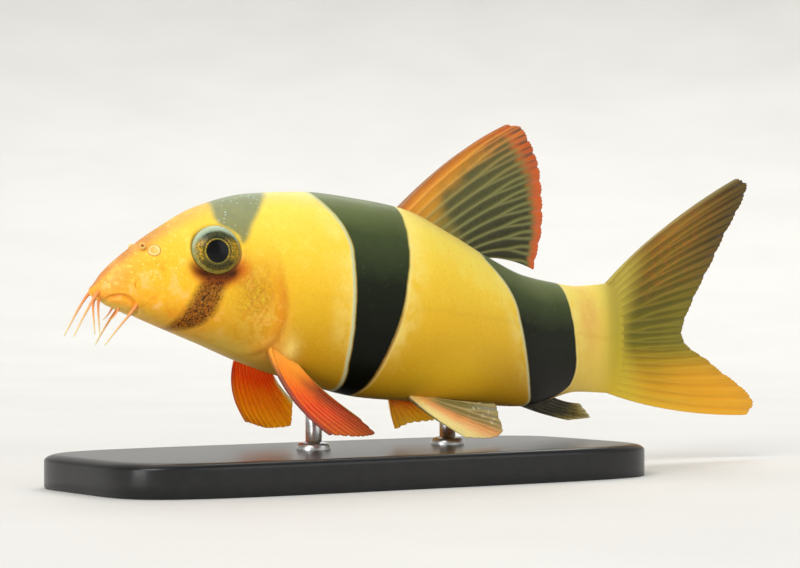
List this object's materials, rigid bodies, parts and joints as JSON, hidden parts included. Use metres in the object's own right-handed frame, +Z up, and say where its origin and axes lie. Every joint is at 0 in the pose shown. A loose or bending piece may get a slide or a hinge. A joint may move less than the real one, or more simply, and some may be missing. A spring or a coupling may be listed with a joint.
{
  "type": "clown loach model",
  "caption": "Life-size still model of a young clown loach, banded yellow and black with orange fins and barbels, hovering low on a small flat display stand with thin rods.",
  "frame": {"origin": "centre of the underside of the stand's base, below the fish's middle", "axes": "+Z up, +X from the snout end towards the tail end, and -Y towards the side the fish's left flank shows on"},
  "size_m": [0.1135, 0.0944, 0.0554],
  "materials": {
    "skin": "smooth wet skin, lemon yellow above and golden below, with three black bands edged in blue-white and an orange snout",
    "eye": "clear glossy cornea over an olive-gold iris with a round black pupil",
    "dorsal_fin": "thin membrane, orange in front and black with pale rays behind",
    "anal_fin": "thin dark membrane with an olive-yellow margin",
    "caudal_fin": "thin yellow-olive membrane with orange-brown streaks and an orange lower lobe",
    "paired_fins": "thin rayed membrane, orange at the root and red to maroon towards the tip",
    "barbels": "soft orange-pink feelers, finely ringed, paler at the tips",
    "stand_base": "satin charcoal paint",
    "stand_rods": "brushed steel"
  },
  "bodies": {
    "root": {"head": "skin", "trunk": "skin", "tail": "skin", "eye_left": "eye", "eye_right": "eye", "dorsal_fin": "dorsal_fin", "anal_fin": "anal_fin", "caudal_fin_upper": "caudal_fin", "caudal_fin_lower": "caudal_fin", "pectoral_fin_left": "paired_fins", "pectoral_fin_right": "paired_fins", "pelvic_fin_left": "paired_fins", "pelvic_fin_right": "paired_fins", "barbel_rostral_outer_left": "barbels", "barbel_rostral_outer_right": "barbels", "barbel_rostral_inner_left": "barbels", "barbel_rostral_inner_right": "barbels", "barbel_maxillary_left": "barbels", "barbel_maxillary_right": "barbels", "barbel_mandibular_left": "barbels", "barbel_mandibular_right": "barbels", "stand_base": "stand_base", "stand_rod_front": "stand_rods", "stand_rod_rear": "stand_rods"}
  },
  "joints": []
}
